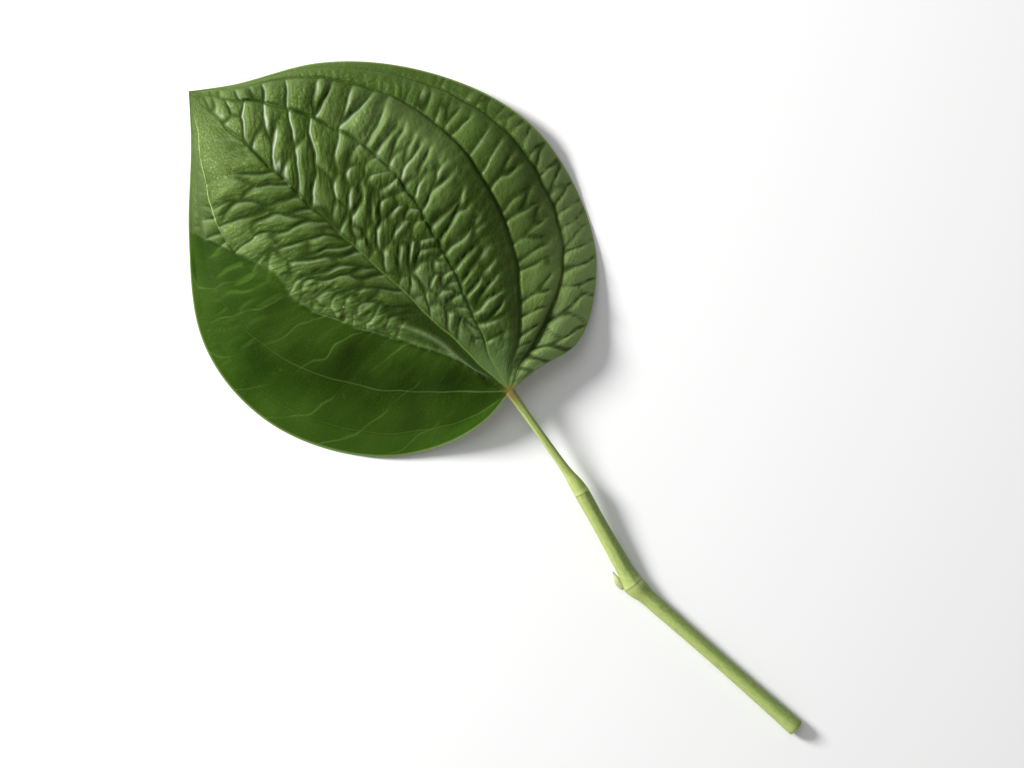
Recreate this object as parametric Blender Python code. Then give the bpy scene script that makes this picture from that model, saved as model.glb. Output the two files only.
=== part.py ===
"""A wild betel leaf as picked: the blade, its stalk, and the cut piece of stem it grows on.

Metres, +Z up. The leaf lies face up on the plane Z = 0 with its midrib along +Y towards the tip and
its right half, seen from above, towards +X. The drawing's own zero is the joint of stalk and blade.
"""

import math

import bmesh
import bpy
import numpy as np
from mathutils import Vector

MM = 0.001

# The joint of stalk and blade, placed so that the whole leaf's box is centred on the origin.
JOINT = np.array((-2.462, -0.169, 0.0)) * MM
GAP = 0.3 * MM

# Blade, seen from above: share of the way round from stalk to tip, then across and along.
BLADE_LENGTH = 115.0
RIGHT_EDGE = (
    (0.00, 0.0, 0.0),
    (0.06, 9.0, -1.2),
    (0.14, 21.0, -4.2),
    (0.26, 39.5, 6.0),
    (0.45, 54.0, 37.0),
    (0.65, 47.5, 70.0),
    (0.82, 28.0, 95.0),
    (0.93, 9.0, 107.5),
    (1.00, 0.0, BLADE_LENGTH),
)
LEFT_EDGE = (
    (0.00, 0.0, 0.0),
    (0.06, -8.0, -0.6),
    (0.14, -18.5, 1.6),
    (0.26, -34.0, 11.4),
    (0.45, -48.5, 38.0),
    (0.65, -45.0, 68.0),
    (0.82, -26.5, 90.0),
    (0.93, -9.0, 105.5),
    (1.00, 0.0, BLADE_LENGTH),
)

# Veins: how far each lies from the midrib towards the edge, and how that share opens out.
VEIN_SHARES = (0.0, 0.27, 0.58, 0.85, 1.0)
SHARE_POWER = (1.7, -2.6, 1.2)
CREASE_VEIN = 1

# Heights of the blade's under face over the table, at shares of the way to the tip.
RIB_HEIGHT = ((0, 10.2), (0.15, 12.8), (0.35, 14.0), (0.6, 12.0), (0.8, 7.2), (0.93, 2.0), (1, 0.0))
RIGHT_HEIGHT = (
    (0, 10.2), (0.1, 8.6), (0.2, 3.4), (0.33, 0.0), (0.5, 4.2), (0.64, 2.2), (0.8, 4.0),
    (0.92, 2.0), (1, 0.0),
)  # fmt: skip
LEFT_HEIGHT = (
    (0, 10.2), (0.1, 7.4), (0.2, 2.4), (0.32, 0.0), (0.45, 0.0), (0.6, 0.8), (0.72, 0.0),
    (0.86, 1.6), (0.94, 1.4), (1, 0.0),
)  # fmt: skip

# Blade in section: the right half's arch, the left part's fall past the crease, the channel
# along the midrib, the pillows between the veins, and the ribs under them.
BLADE_THICK = 0.8
ARCH_POWER = 2.1
CREASE_ROUND = 0.012
CREASE_EASE = 0.3
GUTTER_DEPTH = 1.2
GUTTER_WIDTH = 3.0
GUTTER_ENDS = 0.5
PUCKER_HEIGHT = 1.3
PUCKER_CREST = 0.58
PUCKER_RISE = 7.0
PUCKER_END = 5.0
PILLOW_WIDTH = 9.0
SMOOTH_SIDE = 0.22
MIDRIB_UNDER = 1.1
VEIN_UNDER = 0.8
VEIN_TAPER = 0.8
VEIN_START = 12.0
VEIN_FADE = (0.5, 0.35)

# Blade mesh: cells between one vein and the next, and rows from stalk to tip.
CELLS = (6, 5, 4, 3)
ROWS = 46
ROW_SWEEP = 2.6
SWEEP_REACH = 1.6

# Stem and stalk
STEM_CUT = (-13.2, -114.6)
STEM_LOWER_JOINT = (-14.9, -58.1)
STEM_UPPER_JOINT = (-6.2, -30.8)
STEM_RADIUS = 2.2
STEM_TOP_RADIUS = 1.75
JOINT_SWELL = 1.28
PETIOLE_FOOT_RADIUS = 1.9
PETIOLE_SAG = 1.0
PETIOLE_GROOVE = 0.8
STEM_SIDES = 12
RIDGE = 0.05
FLATTENED = 0.1
UPPER_JOINT_HEIGHT = 5.2
JOINT_HEIGHT = 10.6

# Bud
BUD_LENGTH = 5.6
BUD_RADIUS = 0.95
BUD_ABOVE_JOINT = 0.6
BUD_FOOT = 0.5
BUD_LEAN = 0.06


def clear_scene():
    for thing in list(bpy.data.objects):
        bpy.data.objects.remove(thing, do_unlink=True)


def material(name, colour, roughness):
    made = bpy.data.materials.new(name)
    made.use_nodes = True
    shader = made.node_tree.nodes["Principled BSDF"]
    shader.inputs["Base Color"].default_value = (*colour, 1.0)
    shader.inputs["Roughness"].default_value = roughness
    shader.inputs["Metallic"].default_value = 0.0
    return made


def smooth_through(stations, values, at):
    """A smooth curve through the values at their stations, read at each place in at."""
    stations = np.asarray(stations, float)
    values = np.asarray(values, float)
    slopes = np.gradient(values, stations)
    i = np.clip(np.searchsorted(stations, at, side="right") - 1, 0, len(stations) - 2)
    step = stations[i + 1] - stations[i]
    u = (at - stations[i]) / step
    rise = values[i + 1] - values[i]
    bend_in = slopes[i] * step - rise
    bend_out = rise - slopes[i + 1] * step
    return values[i] + rise * u + u * (1 - u) * ((1 - u) * bend_in + u * bend_out)


def profile(points, at):
    """A height profile given as (station, height) pairs, read at each place in at."""
    stations, heights = zip(*points)
    return smooth_through(stations, heights, at)


def vein_share(vein, t):
    """How far vein number vein lies from the midrib towards the edge, as a share, at t."""
    power = SHARE_POWER[0] + SHARE_POWER[1] * t + SHARE_POWER[2] * t * t
    return VEIN_SHARES[vein] ** power if vein else np.zeros_like(t)


def blade_columns():
    """Each column as (vein on its inner side, share of the way to the next vein, side)."""
    half = [(vein, c / n) for vein, n in enumerate(CELLS) for c in range(n)]
    half.append((len(CELLS), 0.0))
    left = [(vein, f, -1) for vein, f in reversed(half[1:])]
    return left + [(vein, f, 1) for vein, f in half]


def swept(vein, f, r):
    """Share of the way to the tip: a row bows towards the tip as it leaves the midrib."""
    outwards = min(1.0, SWEEP_REACH * (vein + f) / len(CELLS))
    bow = r**1.5 * (1 - r) ** 2
    return r + ROW_SWEEP * math.sin(math.pi / 2 * outwards) * bow


def blade_point(vein, f, side, row):
    """Place of one crossing of the blade's net, its shares w across and t along, and its pillow."""
    t = swept(vein, f, row / ROWS)
    inner = vein_share(vein, t)
    outer = vein_share(min(vein + 1, len(CELLS)), t)
    w = float(inner + (outer - inner) * f)
    share, across, along = zip(*(RIGHT_EDGE if side > 0 else LEFT_EDGE))
    edge_x = float(smooth_through(share, across, t))
    edge_y = float(smooth_through(share, along, t))
    x = edge_x * w
    y = BLADE_LENGTH * t * (1 - w) + edge_y * w
    pillow = float(outer - inner) * abs(edge_x)
    return x, y, w, t, pillow


def under_height(x, w, t, side):
    """Height of the smooth under face: arched right half, left part bent down at the crease."""
    rib = float(profile(RIB_HEIGHT, t))
    edge = float(profile(RIGHT_HEIGHT if side > 0 else LEFT_HEIGHT, t))
    if side > 0:
        fall = w**ARCH_POWER
    else:
        crease = float(vein_share(CREASE_VEIN, t))
        past = (w - crease) / (1 - crease)
        past = (math.sqrt(past * past + CREASE_ROUND) + past) / 2
        fall = min(1.0, (1 + CREASE_EASE) * past - CREASE_EASE * past**3)
    gutter = GUTTER_DEPTH * math.exp(-((x / GUTTER_WIDTH) ** 2)) * math.sin(math.pi * t) ** GUTTER_ENDS
    return rib + (edge - rib) * fall - gutter


def pucker(vein, f, side, row, t, pillow):
    """Height of the pillows between the veins, one for every two rows, less where they are narrow."""
    plump = 1 - (2 * f - 1) ** 4
    crest = PUCKER_CREST + (1 - PUCKER_CREST) * math.cos(math.pi * (row + vein + (side < 0)))
    fade = min(1.0, PUCKER_RISE * t, PUCKER_END * (1 - t), pillow / PILLOW_WIDTH)
    bent_down = side < 0 and vein >= CREASE_VEIN
    return PUCKER_HEIGHT * plump * crest * fade * (SMOOTH_SIDE if bent_down else 1.0)


def rib_depth(vein, f, side, t):
    """How far the vein stands out of the under face."""
    if f or vein == len(CELLS):
        return 0.0
    thinning = max(0.0, 1 - t) ** VEIN_TAPER * min(1.0, VEIN_START * t)
    if vein == 0:
        return MIDRIB_UNDER * thinning
    fading = max(0.0, 1 - t * (VEIN_FADE[0] + VEIN_FADE[1] * vein))
    return VEIN_UNDER * thinning * fading


def leaf_blade():
    columns = blade_columns()
    width = len(columns)
    upper, lower = [], []
    for row in range(ROWS + 1):
        for vein, f, side in columns:
            x, y, w, t, pillow = blade_point(vein, f, side, row)
            base = under_height(x, w, t, side) + pucker(vein, f, side, row, t, pillow)
            low = max(0.0, base - rib_depth(vein, f, side, t))
            top = max(BLADE_THICK, base + BLADE_THICK)
            lower.append((x, y, low))
            upper.append((x, y, top))

    def corner(row, column):
        """Number of a net crossing; the first and the last row are one point each."""
        return row * width + (column if 0 < row < ROWS else 0)

    shape = bmesh.new()
    sheets = []
    for points in (upper, lower):
        used = sorted({corner(r, c) for r in range(ROWS + 1) for c in range(width)})
        sheets.append({i: shape.verts.new(Vector(points[i]) * MM) for i in used})
    over, under = sheets
    for row in range(ROWS):
        for column in range(width - 1):
            a, b = corner(row, column), corner(row, column + 1)
            c, d = corner(row + 1, column + 1), corner(row + 1, column)
            for three in ((a, b, c), (a, c, d)):
                if len(set(three)) == 3:
                    shape.faces.new([over[i] for i in three])
                    shape.faces.new([under[i] for i in reversed(three)])
        for column, way in ((0, -1), (width - 1, 1)):
            a, b = corner(row, column), corner(row + 1, column)
            wall = [under[a], under[b], over[b], over[a]]
            shape.faces.new(wall[::way])
    return finish("leaf_blade", shape, material("leaf_green", (0.055, 0.13, 0.03), 0.42))


def section(centre, heading, radius, shape_at):
    """Points of one cross section square to its heading, with a flat side facing down."""
    heading = Vector(heading).normalized()
    sideways = heading.cross(Vector((0, 0, 1))).normalized()
    upwards = sideways.cross(heading)
    points = []
    for k in range(STEM_SIDES):
        angle = 2 * math.pi * (k + 0.5) / STEM_SIDES - math.pi / 2
        reach = radius * shape_at(k)
        points.append(Vector(centre) + sideways * reach * math.cos(angle)
                      + upwards * reach * math.sin(angle))  # fmt: skip
    return points


def lofted(sections):
    """A closed body skinned over its sections and capped at both ends."""
    shape = bmesh.new()
    rings = [
        [shape.verts.new((p.x * MM, p.y * MM, max(0.0, p.z) * MM)) for p in ring]
        for ring in sections
    ]
    count = len(rings[0])
    for first, second in zip(rings, rings[1:]):
        for k in range(count):
            n = (k + 1) % count
            shape.faces.new((first[k], first[n], second[n], second[k]))
    shape.faces.new(rings[0][::-1])
    shape.faces.new(rings[-1])
    bmesh.ops.recalc_face_normals(shape, faces=shape.faces[:])
    return shape


def finish(name, shape, look):
    """Turn the shape into an object at the joint's place, with smooth shading."""
    bmesh.ops.triangulate(shape, faces=shape.faces[:])
    mesh = bpy.data.meshes.new(name)
    shape.to_mesh(mesh)
    shape.free()
    mesh.materials.append(look)
    mesh.shade_smooth()
    mesh.set_sharp_from_angle(angle=math.radians(50))
    made = bpy.data.objects.new(name, mesh)
    made.location = JOINT
    bpy.context.collection.objects.link(made)
    return made


def ridged(k):
    """Lengthwise ridges: every other corner of the section stands out."""
    return 1 + RIDGE * (1 if k % 2 else -1)


def stem():
    axis_height = STEM_RADIUS * (1 - RIDGE) * math.cos(math.pi / STEM_SIDES) - FLATTENED
    cut = Vector((*STEM_CUT, axis_height))
    lower = Vector((*STEM_LOWER_JOINT, axis_height))
    upper = Vector((*STEM_UPPER_JOINT, UPPER_JOINT_HEIGHT))
    run, rise = lower - cut, upper - lower
    # Along the stem: the stretch, the share of it, and the radius there.
    lower_run = (
        (0.0, 0.93), (0.012, 1.0), (0.05, 0.98), (0.72, 0.96), (0.9, 0.97), (0.95, 1.1),
        (0.975, 1.22),
    )  # fmt: skip
    upper_run = (
        (0.03, JOINT_SWELL), (0.07, 1.2), (0.14, 1.03), (0.25, 0.98), (0.8, 1.0), (0.9, 1.12),
        (0.96, 1.16), (0.99, 1.05),
    )  # fmt: skip
    sections = [section(cut + run * s, run, STEM_RADIUS * k, ridged) for s, k in lower_run]
    bisector = run.normalized() + rise.normalized()
    sections.append(section(lower, bisector, STEM_RADIUS * JOINT_SWELL, ridged))
    for s, k in upper_run:
        radius = (STEM_RADIUS + (STEM_TOP_RADIUS - STEM_RADIUS) * s) * k
        sections.append(section(lower + rise * s, rise, radius, ridged))
    return finish("stem", lofted(sections), material("stem_green", (0.36, 0.45, 0.14), 0.5))


def petiole():
    foot = Vector((*STEM_UPPER_JOINT, UPPER_JOINT_HEIGHT))
    head = Vector((0, 0, JOINT_HEIGHT))
    stretch = head - foot
    length = stretch.length
    way = stretch.normalized()
    start = GAP / MM
    # Radius along the stalk: the clasping foot, the slim stalk, and the widened head.
    widths = (
        (start / length, 1.0), (0.05, 1.0), (0.1, 0.86), (0.17, 0.68), (0.26, 0.58), (0.4, 0.55),
        (0.6, 0.53), (0.8, 0.54), (0.92, 0.58), (1 - 1.6 * start / length, 0.6),
    )  # fmt: skip

    def grooved(k):
        """A shallow groove along the upper side, where the two top corners lie."""
        return PETIOLE_GROOVE if k in (STEM_SIDES // 2, STEM_SIDES // 2 - 1) else 1.0

    sections = []
    for share, width in widths:
        sag = -PETIOLE_SAG * math.sin(math.pi * share)
        centre = foot + stretch * share + Vector((0, 0, sag))
        sections.append(section(centre, way, PETIOLE_FOOT_RADIUS * width, grooved))
    look = material("stalk_green", (0.4, 0.48, 0.14), 0.45)
    return finish("petiole", lofted(sections), look)


def bud():
    """A pointed bud beside the stem's lower joint, on the side away from the leaf's right half."""
    joint = Vector((*STEM_LOWER_JOINT, STEM_RADIUS))
    way = (Vector((*STEM_UPPER_JOINT, STEM_RADIUS)) - joint).normalized()
    sideways = Vector((-way.y, way.x, 0))
    clear = STEM_RADIUS * JOINT_SWELL * (1 + RIDGE) + GAP / MM + BUD_RADIUS * BUD_FOOT
    foot = joint + way * BUD_ABOVE_JOINT + sideways * clear
    heading = (way - sideways * BUD_LEAN).normalized()
    outline = ((0.0, 0.45), (0.12, 0.7), (0.3, 0.95), (0.45, 1.0), (0.72, 0.62), (0.9, 0.24), (1.0, 0.06))
    sections = [
        section(foot + heading * BUD_LENGTH * s, heading, BUD_RADIUS * k, lambda _: 1.0)
        for s, k in outline
    ]
    return finish("bud", lofted(sections), material("bud_pale", (0.55, 0.6, 0.3), 0.5))


def main():
    clear_scene()
    leaf_blade()
    petiole()
    stem()
    bud()


main()
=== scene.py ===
import math
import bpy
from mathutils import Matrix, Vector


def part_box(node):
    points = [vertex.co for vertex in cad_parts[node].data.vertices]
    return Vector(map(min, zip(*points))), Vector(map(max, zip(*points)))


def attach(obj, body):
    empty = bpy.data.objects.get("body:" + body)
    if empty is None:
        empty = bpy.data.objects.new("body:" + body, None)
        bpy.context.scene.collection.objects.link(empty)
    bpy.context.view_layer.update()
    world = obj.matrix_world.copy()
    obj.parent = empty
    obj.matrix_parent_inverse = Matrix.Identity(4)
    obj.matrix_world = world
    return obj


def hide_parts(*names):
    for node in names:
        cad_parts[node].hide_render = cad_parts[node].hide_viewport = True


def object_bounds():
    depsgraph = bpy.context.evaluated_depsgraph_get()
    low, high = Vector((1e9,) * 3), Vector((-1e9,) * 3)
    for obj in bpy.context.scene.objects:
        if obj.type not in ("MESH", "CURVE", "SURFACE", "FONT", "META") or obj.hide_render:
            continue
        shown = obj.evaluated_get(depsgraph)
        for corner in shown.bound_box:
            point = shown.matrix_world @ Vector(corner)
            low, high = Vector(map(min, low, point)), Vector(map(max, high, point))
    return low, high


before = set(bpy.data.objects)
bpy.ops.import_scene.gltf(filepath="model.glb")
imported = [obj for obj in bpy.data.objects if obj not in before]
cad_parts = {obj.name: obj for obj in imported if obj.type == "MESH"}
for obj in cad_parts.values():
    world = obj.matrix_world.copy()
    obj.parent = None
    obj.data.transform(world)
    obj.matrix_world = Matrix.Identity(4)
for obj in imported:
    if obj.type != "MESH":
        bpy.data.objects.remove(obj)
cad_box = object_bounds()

from types import SimpleNamespace

import bpy
import numpy as np
from mathutils import Vector

MM = 0.001

# Outline of the blade in millimetres from the joint of stalk and blade:
# share of the way round from stalk to tip, then across and along.
BLADE_LENGTH = 115.0
RIGHT_EDGE = (
    (0.00, 0.0, 0.0), (0.06, 9.0, -1.2), (0.14, 21.0, -4.2),
    (0.26, 39.5, 6.0), (0.45, 54.0, 37.0), (0.65, 47.5, 70.0),
    (0.82, 28.0, 95.0), (0.93, 9.0, 107.5), (1.00, 0.0, BLADE_LENGTH),
)
LEFT_EDGE = (
    (0.00, 0.0, 0.0), (0.06, -8.0, -0.6), (0.14, -18.5, 1.6),
    (0.26, -34.0, 11.4), (0.45, -48.5, 38.0), (0.65, -45.0, 68.0),
    (0.82, -26.5, 90.0), (0.93, -9.0, 105.5), (1.00, 0.0, BLADE_LENGTH),
)

# Main veins: share of the way from midrib to edge, and the power by which they open out. The strips
# between them are the fields, counted from the midrib.
VEIN_SHARES = np.array((0.0, 0.27, 0.58, 0.85, 1.0))
SHARE_POWER = (1.7, -2.6, 1.2)
VEIN_WANDER = 0.35
CREASE_VEIN = 1
LAST_FIELD = 3

# Two veins of the right half don't lie at their even share of the way: what it is multiplied by, at
# shares of the way to the tip.
RIGHT_VEINS = {
    1: (
        (0, 1.3), (0.07, 1.28), (0.18, 1.17), (0.28, 1.03), (0.4, 0.93), (0.55, 0.89), (0.8, 0.75),
        (1, 0.75),
    ),
    3: ((0, 0.72), (0.1, 0.73), (0.2, 0.86), (0.25, 0.95), (0.33, 1.0), (1, 1.0)),
}

# A vein's half width in millimetres: what the midrib and what another vein loses from stalk to tip,
# and what both have left there. Then how pale each vein shows at the stalk, and how much less that is
# at the tip.
MIDRIB_HALF, VEIN_HALF, TIP_HALF = 0.8, 0.42, 0.12
RIGHT_PALE = ((1.1, 1.1, 0.6, 0.5, 0), (1.75, 3.0, 2.4, 2.4, 0))
LEFT_PALE = ((1.1, 0.0, 0.7, 0.4, 0), (1.75, 0.0, 0.9, 0.5, 0))

# From this far along, the smooth part's border leaves its vein for the left margin, on a straight
# line: how far across it would lie at the stalk, and how much further for each millimetre along.
CREASE_LEAVES = (55.0, 67.0)
CREASE_LINE = (3.6, 0.34)

# Heights of the under face over the table, at shares of the way to the tip.
RIB_HEIGHT = ((0, 10.2), (0.15, 12.8), (0.35, 14.0), (0.6, 12.0), (0.8, 7.2), (0.93, 2.0), (1, 0.0))
RIGHT_HEIGHT = (
    (0, 10.2), (0.1, 8.6), (0.2, 3.4), (0.33, 0.0), (0.5, 4.2), (0.64, 2.2), (0.8, 4.0),
    (0.92, 2.0), (1, 0.0),
)
LEFT_HEIGHT = (
    (0, 10.2), (0.1, 7.4), (0.2, 2.4), (0.32, 0.0), (0.45, 0.0), (0.6, 0.8), (0.72, 0.0),
    (0.86, 1.6), (0.94, 1.4), (1, 0.0),
)
ARCH_POWER = 2.1
CREASE_ROUND = 0.006
CREASE_EASE = 0.3
GUTTER_DEPTH = 1.2
GUTTER_WIDTH = 3.0
GUTTER_ENDS = 0.5

# Rows of the net bow towards the tip as they leave the midrib.
ROW_SWEEP = 2.6
SWEEP_REACH = 1.6

# Pillows of tissue between the small veins. LEAN is how far a rung of them gains on the tip as it
# crosses a field, as a share of the length; STRETCH how much longer than wide a pillow is.
LEAN = ((0, 0.24), (0.5, 0.18), (0.9, 0.1), (1.1, 0.055), (2, 0.04), (3, 0.025), (4, 0.015))
LEAN_BACK = 0.16
LEAN_ENDS = 0.6
PILLOW_WIDTH = 3.5
PILLOW_GROWTH = 0.6
STRETCH = (3.0, 3.8, 3.8, 2.8)
PILLOW_HEIGHT = 1.25
PILLOW_LOW_SIDE = 0.4
END_BRIDGE = 0.3

# How the pillows are scattered: seeds for each field of the left and the right half, and the spreads
# that their place, their turn in radians, and their width, length and height are drawn from.
THROWS = 2200
THROW_SEEDS = ((70, 72, 74, 76), (111, 73, 75, 77))
THROWN_ALONG = (0.02, 0.985)
TURN_SPREAD = 0.13
WIDTH_SPREAD = (0.75, 1.3)
LENGTH_SPREAD = (0.7, 1.3)
HEIGHT_SPREAD = (0.7, 1.1)
SPACING = 0.8

# Finer relief on the pillows, and what there is of relief on the smooth part.
WRINKLE_HEIGHT = 0.07
NET_HEIGHT = 0.16
NET_ACROSS = 8.5
NET_ALONG = 58.0
CRUMPLE_HEIGHT = 1.25
CRUMPLE_ACROSS = 13.0
CRUMPLE_ALONG = 34.0
SMOOTH_SIDE = 0.14
SMOOTH_WAVE = 1.0
SMOOTH_BAND = 0.12
SMOOTH_RUNGS = 12.0

# The inner pleat beside the midrib: how far from it, from where along and how much it bends away.
# The outer pleat lies along the crease and is lower.
PLEAT_HEIGHT = 0.85
PLEAT_APART = 2.7
PLEAT_TURN = 19.0
PLEAT_BEND = 0.055
PLEAT_WIDTH = 0.75
OUTER_PLEAT_WIDTH = 0.6
OUTER_PLEAT_SHARE = 0.6

# Each field between two main veins swells; the right lobe is folded along its last vein.
FIELD_RISE = (0.5, 1.3, 1.1, 0.5)
FOLD_DEPTH = 1.3
FOLD_WIDTH = 1.7
BLADE_THICK = 0.38
GROOVE_DEPTH = 0.18
UNDER_CALM = 0.5
UNDER_RUNGS = 24.0
MIDRIB_UNDER = 1.1
VEIN_UNDER = 0.7

# Net of the blade: crossings of each field, left half and right half, and rows to the tip.
UPPER_CELLS = ((36, 14, 9, 6), (44, 34, 24, 13))
UNDER_CELLS = ((10, 7, 5, 4), (11, 10, 8, 5))
ROWS = 400

# What each point of the blade keeps for its finish: how many fields out it is, left below 0, and on
# which rung; its height on a pillow and distance from the pillow's border; its distance from a main
# vein in half widths, and how pale that vein is; how open its field; its distance from the margin;
# whether it is on the smooth part that is bent down, or on a flank that faces the tip.
# The finish paints shade by raised and border, and highlights by flank.
KEPT = ("outwards", "rung", "raised", "border", "vein", "pale", "open", "edge_mm", "bent", "flank")

# Stem and stalk, in millimetres from the same joint.
STEM_CUT = (-13.2, -114.6)
STEM_LOWER_JOINT = (-14.9, -58.1)
STEM_UPPER_JOINT = (-6.2, -30.8)
STEM_RADIUS = 2.2
AXIS_HEIGHT = 1.92
UPPER_JOINT_HEIGHT = 5.2
JOINT_HEIGHT = 10.6
STEM_SIDES = 56
STALK_FOOT_RADIUS = 1.9
STALK_SAG = 1.0
STALK_HEAD_DROP = 0.5
STALK_SIDES = 40
BROWN_AT_BLADE = (25.5, 31.5)

# The bud: how far its foot stands above the lower joint and beside the stem's axis, and its lean.
BUD_LENGTH = 5.6
BUD_RADIUS = 0.93
BUD_ABOVE_JOINT = 0.3
BUD_BESIDE = 3.3
BUD_LEAN = 0.06
BUD_FOOT_IN = 0.5
BUD_TIP_RISE = 0.35
BUD_SIDES = 24

# The direction that the midrib points in the photograph, and the width that the camera sees.
MIDRIB_IN_PHOTO = (-0.731, -0.683)
VIEW_WIDTH = 268.0
VIEW_ASIDE = -1.0
LENS = 85.0
SENSOR = 36.0

# Lights: the way to each, rightwards and upwards in the photograph and over the leaf, then its
# distance and size in metres, its power and its colour.
LIGHTS = {
    "window": ((-0.87, 0.42, 0.6), 0.9, 0.3, 12.0, (1.0, 1.0, 0.99)),
    "ceiling": ((-0.3, 0.5, 1.3), 1.4, 0.8, 3.0, (0.97, 1.0, 1.0)),
}
ROOM_LIGHT = 0.28
FLOOR_HALF = 1.6
FLOOR_BELOW = 0.0001


class Wire:
    """A shader socket that takes part in Python sums: each operator adds the node it needs."""

    def __init__(self, finish, socket):
        self.finish = finish
        self.socket = socket

    def sum(self, operation, other, swapped=False):
        pair = (other, self) if swapped else (self, other)
        kinds = [p.socket.type for p in pair if isinstance(p, Wire)]
        if "VECTOR" in kinds or "RGBA" in kinds:
            pair = [(p, p, p) if isinstance(p, (int, float)) else p for p in pair]
            kind = "ShaderNodeVectorMath"
        else:
            kind = "ShaderNodeMath"
        return self.finish.node(kind, {"operation": operation}, dict(enumerate(pair)))

    def __add__(self, other):
        return self.sum("ADD", other)

    def __sub__(self, other):
        return self.sum("SUBTRACT", other)

    def __rsub__(self, other):
        return self.sum("SUBTRACT", other, True)

    def __mul__(self, other):
        return self.sum("MULTIPLY", other)

    __radd__ = __add__
    __rmul__ = __mul__

    def worked(self, operation):
        """One Math node on this value alone, by its name: FRACT, ABSOLUTE or SINE."""
        return self.finish.node("ShaderNodeMath", {"operation": operation}, {0: self})

    def between(self, low, high):
        """A smooth step that is 0 at low and 1 at high; low may be the larger."""
        inputs = {"Value": self, "From Min": low, "From Max": high}
        settings = {"interpolation_type": "SMOOTHSTEP", "clamp": True}
        return self.finish.node("ShaderNodeMapRange", settings, inputs)

    def within(self, start, full, fading, end):
        """A smooth stretch: 0 before start, 1 from full to fading, and 0 again after end."""
        return self.between(start, full) * self.between(end, fading)

    def near(self, middle, far, close):
        """1 where it is closer than close to the middle, and 0 where it is further than far."""
        return (self - middle).worked("ABSOLUTE").between(far, close)


class Finish:
    """A material under construction, with its one Principled shader."""

    def __init__(self, name, **constants):
        self.material = bpy.data.materials.new(name)
        self.material.use_nodes = True
        self.tree = self.material.node_tree
        self.shader = self.tree.nodes["Principled BSDF"]
        for socket, value in constants.items():
            self.shader.inputs[socket.replace("_", " ")].default_value = value

    def node(self, kind, settings=None, inputs=None, out=0):
        """Adds one node: its settings first, then the values and links of its sockets."""
        made = self.tree.nodes.new(kind)
        for name, value in (settings or {}).items():
            setattr(made, name, value)
        for name, value in (inputs or {}).items():
            self.join(made.inputs[name], value)
        return Wire(self, made.outputs[out])

    def join(self, socket, value):
        """Links a wire or sets a value; a colour of three numbers is as seen on a screen."""
        if isinstance(value, Wire):
            self.tree.links.new(value.socket, socket)
        elif socket.type == "RGBA" and len(value) == 3:
            socket.default_value = (*light_of(value), 1.0)
        else:
            socket.default_value = value

    def feed(self, socket, value):
        self.join(self.shader.inputs[socket], value)

    def kept(self, *names):
        """Values that the mesh keeps at its points, each under its own name."""
        kind = "ShaderNodeAttribute"
        return {name: self.node(kind, {"attribute_name": name}, out="Fac") for name in names}

    def place(self):
        """Where on the object, in metres."""
        return self.node("ShaderNodeTexCoord", out="Object")

    def blend(self, first, second, share):
        """Colours mixed by share, 0 being the first."""
        return self.node("ShaderNodeMix", {"data_type": "RGBA"}, {0: share, 6: first, 7: second}, out=2)

    def layered(self, colour, layers):
        """A colour with others laid over it: each layer is a colour, how strong it is, and where."""
        for over, strength, where in layers:
            colour = self.blend(colour, over, where * strength)
        return colour

    def noise(self, where, scale, detail=3.0, rough=0.5):
        inputs = {"Vector": where, "Scale": scale, "Detail": detail, "Roughness": rough}
        return self.node("ShaderNodeTexNoise", None, inputs)

    def cells(self, where, scale, dimensions="3D"):
        """Distance from the borders of scattered cells."""
        settings = {"voronoi_dimensions": dimensions, "feature": "DISTANCE_TO_EDGE"}
        return self.node("ShaderNodeTexVoronoi", settings, {"Vector": where, "Scale": scale}, "Distance")

    def bump(self, height, depth, strength):
        inputs = {"Height": height, "Distance": depth, "Strength": strength}
        self.feed("Normal", self.node("ShaderNodeBump", None, inputs))


def light_of(colour):
    """The light that a colour as seen on a screen, 0 to 255, stands for."""
    return tuple(((c / 255 + 0.055) / 1.055) ** 2.4 if c > 10 else c / 3294.6 for c in colour)


def smooth_through(stations, values, at):
    """A smooth curve through the values at their stations, read at each place in at."""
    stations = np.asarray(stations, float)
    values = np.asarray(values, float)
    slopes = np.gradient(values, stations)
    i = np.clip(np.searchsorted(stations, at, side="right") - 1, 0, len(stations) - 2)
    step = stations[i + 1] - stations[i]
    u = (at - stations[i]) / step
    rise = values[i + 1] - values[i]
    bend_in = slopes[i] * step - rise
    bend_out = rise - slopes[i + 1] * step
    return values[i] + rise * u + u * (1 - u) * ((1 - u) * bend_in + u * bend_out)


def profile(points, at):
    """A smooth curve given as (station, value) pairs, read at each place in at."""
    stations, values = zip(*points)
    return smooth_through(stations, values, at)


def step_up(value, low, high):
    """A smooth step from 0 at low to 1 at high; low may be the larger."""
    share = np.clip((value - low) / (high - low), 0, 1)
    return share * share * (3 - 2 * share)


def within(value, start, full, fading, end):
    """A smooth stretch: 0 before start, 1 from full to fading, and 0 again after end."""
    return step_up(value, start, full) * step_up(value, end, fading)


def soft_noise(x, y, seed):
    """Smooth noise from -1 to 1 that changes over about one unit of x and y."""
    size = 64
    lattice = np.random.default_rng(seed).uniform(-1, 1, (size, size))
    column, row = np.floor(x).astype(int), np.floor(y).astype(int)
    u, v = step_up(x - column, 0, 1), step_up(y - row, 0, 1)

    def corner(a, b):
        return lattice[(row + b) % size, (column + a) % size]

    near = corner(0, 0) * (1 - u) + corner(1, 0) * u
    far = corner(0, 1) * (1 - u) + corner(1, 1) * u
    return near * (1 - v) + far * v


def patchy(net, size, x_shift, y_shift, seed):
    """Smooth noise over the blade, in patches of about this size in millimetres."""
    return soft_noise(net.x / size + x_shift, net.y / size + y_shift, seed)


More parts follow.
